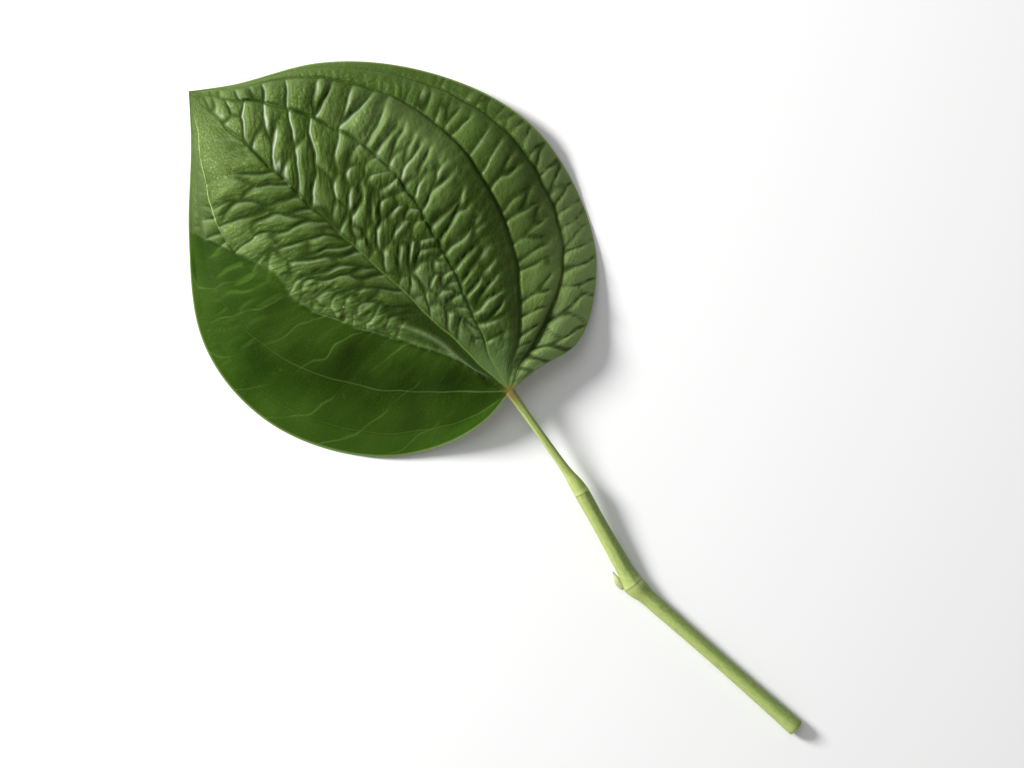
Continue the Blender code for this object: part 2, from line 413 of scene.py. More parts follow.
def small_cells(a, b, seed):
    """A net of small cells, about one to each unit of a and b: 0 on a border, 1 in the middle."""
    size = (64, 256)
    jitter = np.random.default_rng(seed).uniform(0.1, 0.9, (*size, 2))
    column, row = np.floor(a).astype(int), np.floor(b).astype(int)
    away = []
    for i in (-1, 0, 1):
        for j in (-1, 0, 1):
            spot = jitter[(column + i) % size[0], (row + j) % size[1]]
            away.append(np.hypot(column + i + spot[..., 0] - a, row + j + spot[..., 1] - b))
    first, second = np.sort(np.stack(away), axis=0)[:2]
    return 1 - (1 - np.minimum(1, (second - first) / 0.5)) ** 2


def margin(edge, t):
    """Where the blade's margin lies, across and along, at shares of the way round one half."""
    share, across, along = zip(*edge)
    return smooth_through(share, across, t), smooth_through(share, along, t)


def joint_place():
    """The joint of stalk and blade in the frame, found from the box of the blade's solid."""
    _, high = (np.array(c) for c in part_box("leaf_blade"))
    reach = margin(RIGHT_EDGE, np.linspace(0, 1, 2001))[0].max()
    return Vector((high[0] - reach * MM, high[1] - BLADE_LENGTH * MM, 0.0))


JOINT = joint_place()


def blade_place(field, f, side, t):
    """Crossings of the blade's net: places in millimetres and shares of the way.

    field is the strip between two veins, counted from the midrib, f the share of the way across it,
    side is -1 left or 1 right, and t the share of the way along from the stalk to the tip.
    """
    power = SHARE_POWER[0] + SHARE_POWER[1] * t + SHARE_POWER[2] * t * t
    right = side > 0

    def vein_share(vein):
        """Share of the way from the midrib to the edge at which a vein lies."""
        share = VEIN_SHARES[vein] ** power
        for moved, places in RIGHT_VEINS.items():
            share = share * (1 + right * (vein == moved) * (np.interp(t, *zip(*places)) - 1))
        return share

    inner, outer = vein_share(field), vein_share(field + 1)
    w = inner + (outer - inner) * f
    edge_x, edge_y = np.where(right, margin(RIGHT_EDGE, t), margin(LEFT_EDGE, t))
    reach = np.hypot(edge_x, edge_y - BLADE_LENGTH * t)
    return SimpleNamespace(
        x=edge_x * w, y=BLADE_LENGTH * t * (1 - w) + edge_y * w, t=t, w=w,
        reach=reach, width=(outer - inner) * reach, crease=VEIN_SHARES[CREASE_VEIN] ** power,
    )


def row_share(field, f, r):
    """Where a row of the net has got to: it bows towards the tip as it leaves the midrib."""
    outwards = np.minimum(1.0, SWEEP_REACH * (field + f) / (LAST_FIELD + 1))
    return r + ROW_SWEEP * np.sin(math.pi / 2 * outwards) * r**1.5 * (1 - r) ** 2


def under_height(net):
    """The smooth under face: an arched right half, and a left part bent down at its crease."""
    rib = profile(RIB_HEIGHT, net.t)
    edge = np.where(net.right, profile(RIGHT_HEIGHT, net.t), profile(LEFT_HEIGHT, net.t))
    past = (net.w - net.crease) / (1 - net.crease)
    past = (np.sqrt(past * past + CREASE_ROUND) + past) / 2
    bent = np.minimum(1.0, (1 + CREASE_EASE) * past - CREASE_EASE * past**3)
    fall = np.where(net.right, net.w**ARCH_POWER, bent)
    channel = np.exp(-((net.x / GUTTER_WIDTH) ** 2))
    channel = channel * np.sin(math.pi * np.clip(net.t, 0, 1)) ** GUTTER_ENDS
    return rib + (edge - rib) * fall - GUTTER_DEPTH * channel


def lean_fade(t):
    """Rungs lean most halfway along the blade."""
    return np.sin(math.pi * np.clip(t, 0.02, 0.98)) ** LEAN_ENDS


def rung_share(field, f, t):
    """Where a rung started on the midrib, as a share of the length."""
    fields, leans = (np.array(values, float) for values in zip(*LEAN))
    gained = np.concatenate(([0], np.cumsum(np.diff(fields) * (leans[1:] + leans[:-1]) / 2)))
    return t - np.interp(field + f, fields, gained) * lean_fade(t)


def rung_way(field, f, side, t):
    """The direction of a rung at a place, outwards from the midrib and leaning to the tip."""
    turned_back = LEAN_BACK * (field == 0) * step_up(f, 0.5, 0.8) * within(t, 0.12, 0.22, 0.58, 0.68)
    lean = np.interp(field + f, *zip(*LEAN)) * lean_fade(t) - turned_back
    here = blade_place(field, f, side, t)
    there = blade_place(field, f + 0.01, side, t + 0.01 * lean)
    x, y = there.x - here.x, there.y - here.y
    return x / np.hypot(x, y), y / np.hypot(x, y)


def pillow_rules(field, side, f, t, width):
    """What the pillows are like from place to place in one field of one half.

    Gives where they lie by the crease, how much their turn varies, and their size, with how much
    broader and shorter they are than that size says. Here and below, numbers beside t are shares of
    the way to the tip, beside f shares of the way across a field, and the others heights and widths
    in millimetres or shares of what stands before them.
    """
    inner, left, right = field == 0, side < 0, side > 0
    by_crease = inner * left * step_up(f, 0.55, 0.75) * within(t, 0.15, 0.25, 0.6, 0.7)
    unruly = 1 + inner * step_up(f, 0.5, 0.8) * step_up(t, 0.68, 0.58) + 2.2 * by_crease
    size = (1 - 0.12 * inner * step_up(f, 0.5, 0.9) * step_up(t, 0.68, 0.55)) * (1 + 0.1 * by_crease)
    size = size * (1 + PILLOW_GROWTH * (field < 2) * step_up(t, 0.5, 0.68))
    size = size * np.clip(width / 8, 0.35 + 0.4 * step_up(t, 0.5, 0.6) * (not inner), 1)
    broader = right * (0.2 * (field == 1) + 0.4 * (field > 1)) * step_up(t, 0.62, 0.5)
    broader = broader + 0.12 * right * inner * within(t, 0.3, 0.4, 0.6, 0.72)
    shorter = 1 - 0.25 * right * inner * within(t, 0.2, 0.3, 0.56, 0.66)
    shorter = shorter * (1 + 0.3 * left * inner * step_up(f, 0.75, 0.55)) * (1 - 0.2 * by_crease)
    return by_crease, unruly, size, broader, shorter


def pillow_seeds(field, side):
    """Middles of the pillows in one field, scattered until no more fit, with their size and height."""
    dice = np.random.default_rng(THROW_SEEDS[side > 0][field])
    t, f = dice.uniform(*THROWN_ALONG, THROWS), dice.uniform(0.0, 1.0, THROWS)
    place = blade_place(field, f, side, t)
    x, y = place.x, place.y
    by_crease, unruly, size, broader, shorter = pillow_rules(field, side, f, t, place.width)
    way_x, way_y = rung_way(field, f, side, t)
    turn = dice.normal(0, TURN_SPREAD, THROWS) * unruly
    turned_x = way_x * np.cos(turn) - way_y * np.sin(turn)
    way_x, way_y = turned_x, way_x * np.sin(turn) + way_y * np.cos(turn)
    size = size * dice.uniform(*WIDTH_SPREAD, THROWS)
    across = PILLOW_WIDTH * size * (1 + broader)
    along = across * STRETCH[field] * shorter * dice.uniform(*LENGTH_SPREAD, THROWS)
    fitted = []
    for i in range(THROWS):
        dx, dy = x[fitted] - x[i], y[fitted] - y[i]
        sideways = (dy * way_x[i] - dx * way_y[i]) / across[i]
        lengthways = (dx * way_x[i] + dy * way_y[i]) / along[i]
        if not fitted or np.min(sideways**2 + lengthways**2) > SPACING**2:
            fitted.append(i)
    height = dice.uniform(*HEIGHT_SPREAD, THROWS) * (across / PILLOW_WIDTH) ** 0.4
    softness = across * (1 + 0.4 * by_crease - broader)
    return [values[fitted] for values in (x, y, way_x, way_y, across, along, height, softness)]


def field_map(x, y, field, side):
    """pillow_map for one field: each point belongs to the pillow that is nearest for its size."""
    seed_x, seed_y, way_x, way_y, across, along, own, softness = pillow_seeds(field, side)
    dx, dy = x[:, :, None] - seed_x, y[:, :, None] - seed_y
    tipwards = (dy * way_x - dx * way_y) / across * side
    lengthways = (dx * way_x + dy * way_y) / along
    away = np.hypot(tipwards, lengthways)
    nearest = np.argsort(away, axis=2)[:, :, :2]
    mine = nearest[:, :, 0]
    first, second = np.moveaxis(np.take_along_axis(away, nearest, 2), 2, 0)
    place = np.take_along_axis(tipwards, nearest, 2)
    ends = np.abs(np.diff(np.take_along_axis(lengthways, nearest, 2), axis=2))[:, :, 0]
    beside = np.abs(np.diff(place, axis=2))[:, :, 0]
    edge = (second - first) * across[mine] / 2
    rounding = softness[mine] * (0.38 - 0.1 * step_up(place[:, :, 0], -0.1, 0.2))
    wall = 1 - (1 - np.minimum(1, edge / rounding)) ** 1.5
    dip = 1 - END_BRIDGE * step_up(ends / (ends + beside), 0.45, 0.8)
    crest = (PILLOW_LOW_SIDE + (1 - PILLOW_LOW_SIDE) * step_up(place, -0.55, 0.35)) * own[nearest]
    share = 0.5 + 0.5 * np.minimum(1, edge / 0.8)
    height = crest[:, :, 0] * share + crest[:, :, 1] * (1 - share)
    flank = np.exp(-(((edge - 0.5) / 0.4) ** 2)) * step_up(place[:, :, 0], 0.05, 0.35) * dip
    return np.stack(((1 - (1 - wall) * dip) * height, edge + 0.8 * (1 - dip), flank))


def pillow_map(net):
    """How high each point is on its pillow, how far from the border, and if on the tip-side flank."""

    def bends(x_shift, y_shift, seed):
        """Broad and fine bends of the pillows' borders, in millimetres."""
        return 0.45 * patchy(net, 3.4, x_shift, y_shift, seed) + 0.1 * patchy(net, 1.4, 0, 0, seed + 1)

    x, y = net.x + bends(20, 40, 21), net.y + bends(50, 10, 23)
    maps = np.zeros((3, *x.shape))
    for side in (-1, 1):
        for field in range(LAST_FIELD + 1):
            columns = np.flatnonzero((net.side[0] == side) & (net.field[0] == field))
            maps[:, :, columns] = field_map(x[:, columns], y[:, columns], field, side)
    return maps


def smooth_part(net):
    """Where the left half is smooth: past the crease, and further up past a line to the margin."""
    leaving = step_up(net.y, *CREASE_LEAVES)
    past = (net.w - net.crease) * net.reach * (1 - leaving)
    past = past + (CREASE_LINE[0] - CREASE_LINE[1] * net.y - net.x) * leaving
    past = past + 0.35 * patchy(net, 2.3, 0, 0, 18) - step_up(net.y, 15, 9)
    return step_up(past, -0.5, 0.6) * net.left


def stalk_pleats(net):
    """Two narrow folds of the left half that run out from the stalk beside the midrib, 0 to 1."""
    x, y = net.x, net.y
    from_inner = x + PLEAT_APART + PLEAT_BEND * np.clip(y - PLEAT_TURN, 0, None) ** 1.7
    from_outer = (net.w - net.crease) * net.reach + 0.3
    folds = np.exp(-((from_inner / PLEAT_WIDTH) ** 2))
    folds = folds + OUTER_PLEAT_SHARE * np.exp(-((from_outer / OUTER_PLEAT_WIDTH) ** 2))
    return np.minimum(folds, 1) * net.left * within(y, 4, 9, 27, 36)


def lobe_fold(net):
    """The fold of the right lobe along its last vein, 0 to 1."""
    before = np.where(net.field == LAST_FIELD - 1, net.outer_mm, 9.0)
    away = np.where(net.last, net.inner_mm, before)
    return np.exp(-((away / FOLD_WIDTH) ** 2)) * within(net.t, 0.03, 0.1, 0.14, 0.28) * net.right


def vein_banks(net):
    """0 on a main vein and 1 beside it, but for places where the pillows bridge it."""
    bridged = 0.66 + 0.26 * patchy(net, 4, 0, 0, 31)
    bridged = bridged * (1 - 0.65 * net.left * (net.field + net.f > 0.5))
    bank_mm = np.where(net.first & (net.inner_mm < net.outer_mm), 0.32, 0.52)
    return 1 - bridged * np.exp(-((np.minimum(net.inner_mm, net.outer_mm) / bank_mm) ** 2))


def valley_depth(net):
    """How deep the valleys are: they run out towards a field's outer vein and on the outer fields."""
    t, f, field = net.t, net.f, net.field
    lower_second = (field == 1) * net.right * step_up(t, 0.7, 0.6)
    upper_second = (field == 1) * net.right * step_up(t, 0.62, 0.7)
    running_out = step_up(f, 0.6 - 0.08 * lower_second, 0.97 - 0.2 * lower_second) * ~net.last
    depth = 1 - np.where(net.first, 0.2, 0.75 + 0.15 * lower_second - 0.35 * upper_second) * running_out
    uneven = step_up(patchy(net, 7, 4, 21, 44), 0.35, -0.25)
    rightmost = (0.06 + (0.12 + 0.38 * step_up(t, 0.36, 0.56)) * uneven) * step_up(t, 0.14, 0.34)
    outer_tip = (field > 1) * step_up(t, 0.62, 0.75)
    left_tip = net.left * (field < 2) * step_up(t, 0.775, 0.82)
    right_foot = net.right * (field < 2) * step_up(t, 0.17, 0.1)
    depth = depth * (1 - rightmost * net.right * net.last) * (1 - 0.8 * outer_tip)
    return depth * (1 - 0.7 * left_tip) * (1 - 0.85 * right_foot)


def pillow_strength(net, pleated):
    """How high the pillows stand from place to place, 1 being their full height."""
    t, field, left, right = net.t, net.field, net.left, net.right
    low_midrib = net.first * step_up(net.inner_mm, 2.2 + 2.8 * left, 0.8) * step_up(t, 0.55, 0.42)
    high_midrib = net.first * right * step_up(net.inner_mm, 6, 3) * step_up(t, 0.72, 0.77)
    middle = right * (field < 2) * within(t, 0.3, 0.42, 0.66, 0.8)
    outer = right * (field > 1) * (0.42 - 0.12 * net.last * step_up(t, 0.5, 0.36))
    strength = 1 - 0.62 * left * net.first * step_up(t, 0.76, 0.84)
    strength = strength * (1 - 0.7 * low_midrib) * (1 - 0.4 * high_midrib)
    return strength * (1 + 0.12 * middle) * (1 - outer) * (1 - 0.85 * pleated)


def pillow_skin(net, raised, depth, strength):
    """Height of the pillows with their wrinkles, their net of small cells and the crumpled strip."""
    t, f, smooth = net.t, net.f, net.bent
    left_over = SMOOTH_SIDE + 0.25 * step_up(t, 0.5, 0.66) * step_up(net.field + f, 3.0, 1.5)
    pillows = (raised * depth + 0.6 * (1 - depth)) * (1 - (1 - left_over) * smooth) * strength
    by_crease = step_up(f, 0.35, 0.75) * net.left * net.first * within(t, 0.22, 0.32, 0.6, 0.72)
    wrinkles = 0.5 * patchy(net, 1.5, 3, 11, 16) + 0.35 * patchy(net, 0.8, 7, 7, 15)
    cells = small_cells(net.outwards * NET_ACROSS + 40 + 0.3 * wrinkles, net.rung * NET_ALONG + 60, 51)
    streaks = soft_noise(net.outwards * CRUMPLE_ACROSS + 30 + 0.4 * wrinkles, t * CRUMPLE_ALONG + 5, 52)
    crumpled = 0.55 * np.abs(streaks) + 0.45 * np.abs(soft_noise(net.x / 1.2 + 12, net.y / 1.9 + 5, 53))
    fine = NET_HEIGHT * (1 + 0.4 * by_crease) * (cells - 0.5)
    fine = fine + CRUMPLE_HEIGHT * by_crease * (0.5 - crumpled)
    skin = PILLOW_HEIGHT * pillows * (1 - 0.62 * by_crease)
    skin = skin + WRINKLE_HEIGHT * wrinkles * (1 - 0.75 * smooth)
    return skin + fine * (1 - smooth) * strength


def field_rise(net, pleats, rim):
    """Height of the broad forms: each field's swell, the pleats, and the smooth part's waves."""
    rise = np.sin(math.pi * np.clip(net.f, 0, 1) ** np.where(net.last, 0.75, 1.25)) ** 1.2
    rise = rise * np.array(FIELD_RISE)[net.field] * np.clip(net.width / 12, 0, 1.15)
    rise = rise * within(net.t, 0.0, 0.2, 0.8, 1.0) * (1 - 0.55 * net.bent)
    bands = np.sin(2 * math.pi * (net.rung * SMOOTH_RUNGS + 0.3 * net.outwards))
    waves = SMOOTH_WAVE * patchy(net, 8, 5, 3, 33) + SMOOTH_BAND * bands
    return rise + PLEAT_HEIGHT * pleats + waves * net.bent * rim


def puckers(net):
    """Adds the relief over the smooth form, in millimetres, and what the colour needs of it."""
    t, f, field = net.t, net.f, net.field
    raised, border, flank = pillow_map(net)
    net.inner_mm = net.width * f
    net.outer_mm = net.width * np.where(net.last, 1.0, 1 - f)
    net.edge_mm = net.width * np.where(net.last, 1 - f, 1.0) + 20.0 * ~net.last
    net.bent = smooth_part(net)
    pleats = stalk_pleats(net)
    pleated = net.left * net.first * step_up(t, 0.36, 0.25)
    banks, depth, strength = vein_banks(net), valley_depth(net), pillow_strength(net, pleated)
    rim = 0.12 + 0.88 * step_up(net.edge_mm, 0.3, 3.5)
    ends = step_up(t + 0.03 * (field > 1) - 0.05 * net.first, 0.07, 0.2) * step_up(t, 1.0, 0.88)
    swell = banks * rim * ends * (1 + 0.22 * patchy(net, 13, 2, 14, 17)) * np.clip(net.width / 5, 0, 1)
    swell = swell * (1 - 0.6 * net.left * step_up(field + f, 1.4, 2.0))
    net.swell = pillow_skin(net, raised, depth, strength) * swell
    net.relief = net.swell + field_rise(net, pleats, rim) - FOLD_DEPTH * lobe_fold(net)
    # What the finish reads of it: the height, for painted shade in the low parts; the distance from a
    # border, for painted shade in the valleys; and the flank, for painted highlights, which the pleats
    # are given too.
    net.raised = (raised + pleated * (0.2 + pleats - raised)) * banks * depth
    net.border = border + 1.2 * (1 - depth) + pleated * (0.3 + 1.2 * pleats - border)
    net.flank = flank * swell * depth * (1 - pleated) + 0.7 * pleats * pleated


def vein_pale(vein, right_half, t):
    """How pale a main vein shows from above, the midrib being 0."""
    right, left = (np.array(pale)[vein] - np.array(less)[vein] * t
                   for pale, less in (RIGHT_PALE, LEFT_PALE))
    crease = 0.9 * within(t, 0.7, 0.78, 0.92, 0.97) + 0.75 * within(t, 0.29, 0.37, 0.58, 0.66)
    return np.clip(np.where(right_half, right, left + (vein == CREASE_VEIN) * crease), 0, 1)


def vein_half(vein, t):
    """Half the width of a main vein in millimetres, thinning to the tip."""
    return np.where(vein == 0, MIDRIB_HALF, VEIN_HALF) * np.clip(1 - t, 0, 1) ** 0.7 + TIP_HALF


def main_veins(net, x, y):
    """Adds the main veins: the rib under them, the groove over them and how pale they show.

    x and y are the places before the veins' wander.
    """
    t, f, field, left = net.t, net.f, net.field, net.left
    in_halves = net.width * f / vein_half(field, t)
    out_halves = net.width * (1 - f) / vein_half(field + 1, t)
    inner_one = net.last | (f < 0.5)
    rib = np.maximum(np.exp(-(in_halves**2)), np.exp(-(out_halves**2)) * ~net.last)
    outer_tip = step_up(field + f, 1.6, 1.85) * step_up(t, 0.62, 0.75)
    by_crease = left * (field < 2) * (np.abs(field + f - CREASE_VEIN) < 0.5) * step_up(t, 0.78, 0.7)
    broken = 1 - 0.85 * by_crease * step_up(soft_noise(x / 6 + 1, y / 6 + 8, 43), 0.25, -0.2)
    net.rib = rib * np.clip(net.width / 6, 0, 1)
    net.groove = net.rib * (1 - 0.9 * left * (field + f > 0.5)) * (1 - 0.6 * outer_tip)
    net.vein = np.where(inner_one, in_halves, out_halves)
    net.open = np.clip((net.width - 2.5) / 4, 0, 1) * (1 - 0.6 * outer_tip)
    net.pale = vein_pale(np.where(inner_one, field, field + 1), net.right, t) * broken


def crossings(cells):
    """Columns of one half from the midrib to the edge, a little closer together near the veins."""
    half = []
    for field, count in enumerate(cells):
        even = np.arange(count) / count
        bunched = (1 - np.cos(math.pi * even)) / 2
        half += [(field, 0.6 * even[i] + 0.4 * bunched[i]) for i in range(count)]
    return half + [(LAST_FIELD, 1.0)]


def blade_net(cells):
    """One face of the blade, row by row from the stalk to the tip, column by column from the left."""
    left, right = (crossings(of_half) for of_half in cells)
    columns = [(*place, -1) for place in reversed(left[1:])] + [(*place, 1) for place in right]
    field, f, side = (np.array(values)[None, :] for values in zip(*columns))
    t = row_share(field, f, np.linspace(0, 1, ROWS + 1)[:, None])
    net = blade_place(field, f, side, t)
    net.field, net.f, net.side, net.left, net.right = field, f, side, side < 0, side > 0
    net.first, net.last = field == 0, field == LAST_FIELD
    net.outwards, net.rung = (field + f) * side, rung_share(field, f, t)
    x, y = net.x, net.y
    loose = VEIN_WANDER * step_up(net.w, 1.0, 0.9) * within(t, 0.0, 0.1, 0.9, 1.0)
    net.x = x + loose * soft_noise(x / 5 + 30, y / 5 + 30, 41)
    net.y = y + loose * soft_noise(x / 5 + 9, y / 5 + 25, 42)
    net.base = under_height(net)
    puckers(net)
    main_veins(net, x, y)
    return net


def net_faces(columns, first, turned):
    """Faces of one side of the blade, whose first and last row are one point each."""
    tip = first + 1 + (ROWS - 1) * columns
    grid = first + 1 + np.arange((ROWS - 1) * columns).reshape(ROWS - 1, columns)
    grid = np.vstack((np.full(columns, first), grid, np.full(columns, tip)))
    faces = []
    for row in range(ROWS):
        for c in range(columns - 1):
            around = [grid[row, c], grid[row, c + 1], grid[row + 1, c + 1], grid[row + 1, c]]
            around = around[1:] if row == 0 else around[:3] if row == ROWS - 1 else around
            faces.append(around[::-1] if turned else around)
    return faces, grid


def place_object(name, mesh, node):
    """An object at the joint's place that rides with the frame and stands for a node."""
    made = bpy.data.objects.new(name, mesh)
    made.location = JOINT
    bpy.context.collection.objects.link(made)
    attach(made, "root")
    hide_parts(node)
    return made


def smooth_shade(mesh, sharp_from):
    """Smooth shading, but for edges that turn by more than this angle in degrees."""
    mesh.shade_smooth()
    mesh.set_sharp_from_angle(angle=math.radians(sharp_from))


def keep(mesh, name, values):
    """Keeps one number for each point, for the finish to read."""
    layer = mesh.attributes.new(name, "FLOAT", "POINT")
    layer.data.foreach_set("value", np.ascontiguousarray(values, dtype=np.float32))


def leaf_blade(upper_finish, under_finish, smooth_finish):
    """The blade: a fine upper face, a coarser under face, and the rim that joins them."""
    upper, under = blade_net(UPPER_CELLS), blade_net(UNDER_CELLS)
    rib_height = np.where(under.w < 0.05, MIDRIB_UNDER, VEIN_UNDER)
    low = under.base + under.relief - UNDER_CALM * under.swell
    under.z = np.maximum(low - (GROOVE_DEPTH + rib_height) * under.rib, 0)
    top = upper.base + upper.relief - GROOVE_DEPTH * upper.groove + BLADE_THICK
    upper.z = np.maximum(top, BLADE_THICK * 0.8)
    under_columns = under.x.shape[1]
    upper_columns = upper.x.shape[1]
    upper_faces, upper_grid = net_faces(upper_columns, 0, False)
    under_faces, under_grid = net_faces(under_columns, 2 + (ROWS - 1) * upper_columns, True)
    rim = []
    for column, way in ((0, 1), (-1, -1)):
        a, b = upper_grid[:, column], under_grid[:, column]
        rim += [[a[i], a[i + 1], b[i + 1], b[i]][::way] for i in range(ROWS)]

    def point_by_point(name):
        """Values of both faces: for each the stalk's point, the rows, then the tip's point."""
        grids = [np.broadcast_to(getattr(net, name), net.t.shape) for net in (upper, under)]
        return np.concatenate([part for g in grids for part in (g[0, :1], g[1:-1].ravel(), g[-1, :1])])

    mesh = bpy.data.meshes.new("leaf_blade")
    points = np.stack([point_by_point(name) for name in "xyz"], 1) * MM
    mesh.from_pydata(points.tolist(), [], upper_faces + under_faces + rim)
    for finish in (upper_finish, under_finish, smooth_finish):
        mesh.materials.append(finish)
    bent = point_by_point("bent")
    smooth = [2 * (bent[face[0]] > 0.5) for face in upper_faces]
    slots = smooth + [1] * len(under_faces) + [0] * len(rim)
    mesh.polygons.foreach_set("material_index", np.array(slots, dtype=np.int32))
    smooth_shade(mesh, 75)
    keep(mesh, "along", point_by_point("t"))
    for name in KEPT:
        keep(mesh, name, point_by_point(name))
    return place_object("leaf_blade_fresh", mesh, "leaf_blade")


def puckered_green(skin, at):
    """Greens of the puckered part, with painted shade in its low parts and dark valleys and painted
    highlights on the flanks that face the light.

    Numbers beside along are shares of the way to the tip, beside outwards fields from the midrib.
    """
    # Painted shade: darker the lower a point lies on its pillow, lighter on the crowns.
    height_shaded_green = skin.blend((41, 62, 11), (73, 94, 43), at.raised.between(0.1, 1.0))
    by_crease = at.outwards.between(-0.5, -0.75) * at.along.within(0.15, 0.3, 0.65, 0.8)
    shade_before_vein = at.outwards.within(1.6, 1.82, 1.98, 2.04) * at.along.between(0.78, 0.62)
    lobe_fold_shadow = at.outwards.near(3.0, 0.3, 0.05) * at.along.between(0.27, 0.17)
    fainter_highlight_out = 1 - at.outwards.between(1.7, 2.1) * 0.7
    # Where the painted highlight on the flanks is brightest.
    shining = at.along.between(0.3, 0.62) * at.outwards.between(0.0, 0.15)
    shining = shining * (1 - at.outwards.between(0.9, 1.3) * 0.5) * fainter_highlight_out
    first_field = at.outwards.within(0.02, 0.12, 0.9, 1.1)
    return skin.layered(height_shaded_green, (
        ((52, 78, 22), 0.5, at.clouds.between(0.4, 0.75)),
        ((90, 106, 62), 0.4, at.mottle.between(0.5, 0.75)),
        # Paler by the crease, at the tip as a painted sheen, on the outer fields, on the lobe and the
        # foot of the outer fields as painted light where they tilt up towards it, and in patches on the
        # right half.
        ((112, 140, 76), 0.22, by_crease),
        # Painted sheen towards the tip.
        ((100, 121, 70), 0.4, at.along.between(0.74, 0.97)),
        ((106, 132, 68), 0.3, at.outwards.between(0.9, 3.4) * at.along.between(0.45, 0.85)),
        # Painted light on the lobe and the foot of the outer fields, which tilt up towards the light.
        ((132, 157, 90), 0.66, at.outwards.between(1.5, 3.0) * at.along.between(0.45, 0.15)),
        ((109, 131, 76), 0.52, at.outwards.near(1.45, 0.7, 0.3) * at.along.near(0.6, 0.16, 0.04)),
        ((104, 130, 80), 0.6, at.outwards.between(-0.3, 0.3) * at.along.between(0.22, 0.06)),
        ((124, 146, 90), 0.5, at.outwards.between(3.0, 3.2) * at.along.between(0.56, 0.4)),
        ((112, 136, 82), 0.34, first_field * at.along.near(0.26, 0.13, 0.06)),
        # Painted shade beside the stalk on the left, where the blade slopes away from the light, and
        # before the second vein, where the field falls into it; a painted shadow in the fold of the
        # lobe.
        ((36, 62, 10), 0.3, at.outwards.between(-0.05, -0.2) * at.along.between(0.42, 0.3)),
        ((36, 53, 14), 0.45, shade_before_vein),
        ((20, 33, 6), 0.75, lobe_fold_shadow),
        # Painted highlights on the flanks that face the tip and the light, brighter halfway along, and
        # painted shade in the valleys.
        ((134, 153, 110), 0.5, at.flank * fainter_highlight_out),
        ((188, 196, 180), 0.55, at.flank.between(0.45, 0.95) * shining),
        ((18, 35, 1), 1.0, at.valley * (0.35 + 0.49 * at.open)),
    ))


def smooth_green(skin, at):
    """Greens of the smooth part, deep and even, with soft bands of painted sheen, small veins and a
    faint painted highlight on the flanks.
    """
    deep = skin.blend((30, 51, 5), (38, 60, 10), at.clouds.between(0.35, 0.7))
    # Lighter bands that follow the soft waves: a painted sheen.
    bands = (at.rungs * 2 * math.pi).worked("SINE").between(-1.0, 1.0) * at.clouds.between(0.3, 0.65)
    return skin.layered(deep, (
        ((25, 49, 4), 0.9, at.along.between(0.4, 0.62)),
        ((50, 80, 18), 0.7, at.outwards.between(-2.0, -3.5)),
        ((60, 86, 26), 0.3, bands),
        ((88, 118, 50), 0.45, at.small_veins),
        # A faint painted highlight on the flanks.
        ((80, 112, 40), 0.3, at.flank.between(0.0, 0.35) * at.along.between(0.5, 0.66)),
        ((58, 82, 24), 0.3, skin.noise(at.place, 42.0, 1.0).between(0.48, 0.66)),
    ))


def upper_skin(name, shine):
    """The upper face: glossy where it is puckered, duller on the smooth part that is bent down."""
    skin = Finish(name, Specular_IOR_Level=shine, Specular_Tint=(0.78, 1.0, 0.32, 1.0))
    at = SimpleNamespace(place=skin.place(), **skin.kept("along", *KEPT))
    at.clouds = skin.noise(at.place, 60.0, 3.0)
    at.mottle = skin.noise(at.place, 420.0, 4.0, 0.6)
    # Valleys: painted shade in the puckered greens, and rougher there.
    at.valley = at.border.between(0.75, 0.1)
    at.rungs = at.rung * SMOOTH_RUNGS + at.outwards * 0.3 + skin.noise(at.place, 110.0, 1.0) * 0.5
    small_veins = at.rungs.worked("FRACT").near(0.5, 0.045, 0.0)
    at.small_veins = small_veins * skin.noise(at.place, 60.0, 2.0).between(0.42, 0.6)
    net = skin.cells(at.place, 1000.0)
    creases = skin.node("ShaderNodeCombineXYZ", None, {"X": at.outwards * 5.0, "Y": at.rung * 64.0})
    wrinkles = skin.cells(creases + at.mottle * 0.5, 1.0, "2D").between(0.0, 0.22)
    narrower = at.bent * 0.3 + at.outwards.near(0.0, 0.5, 0.4) * 0.3
    pale_vein = at.vein.between(0.9 - narrower, 0.3 - narrower * 0.5) * at.pale
    tip_vein = at.vein.between(1.1, 0.3) * at.pale * at.along.between(0.7, 0.78)
    green = skin.blend(puckered_green(skin, at), smooth_green(skin, at), at.bent)
    green = skin.layered(green, (
        ((70, 94, 36), 0.2, net.between(0.06, 0.0)),
        # Painted shade in the grooves of the open veins.
        ((34, 54, 8), 0.4, at.vein.between(1.7, 0.6) * (1 - at.pale * 0.7) * at.open),
        ((102, 126, 62), 0.75, pale_vein),
        ((158, 184, 122), 0.6, tip_vein),
        ((112, 136, 70), 0.7, at.edge_mm.between(0.7, 0.2)),
        ((120, 100, 50), 0.8, at.along.between(0.03, 0.0)),
    ))
    skin.feed("Base Color", green)
    skin.feed("Roughness", 0.4 + at.mottle.between(0.3, 0.7) * 0.12 + at.bent * 0.1 + at.valley * 0.4)
    height = at.mottle * 0.4 + skin.noise(at.place, 2600.0, 2.0) * 0.12 + net.between(0.0, 0.12) * 0.3
    skin.bump(height + wrinkles * (1 - at.bent) * 0.25 + at.small_veins * at.bent * 0.2, 0.00022, 0.6)
    return skin.material


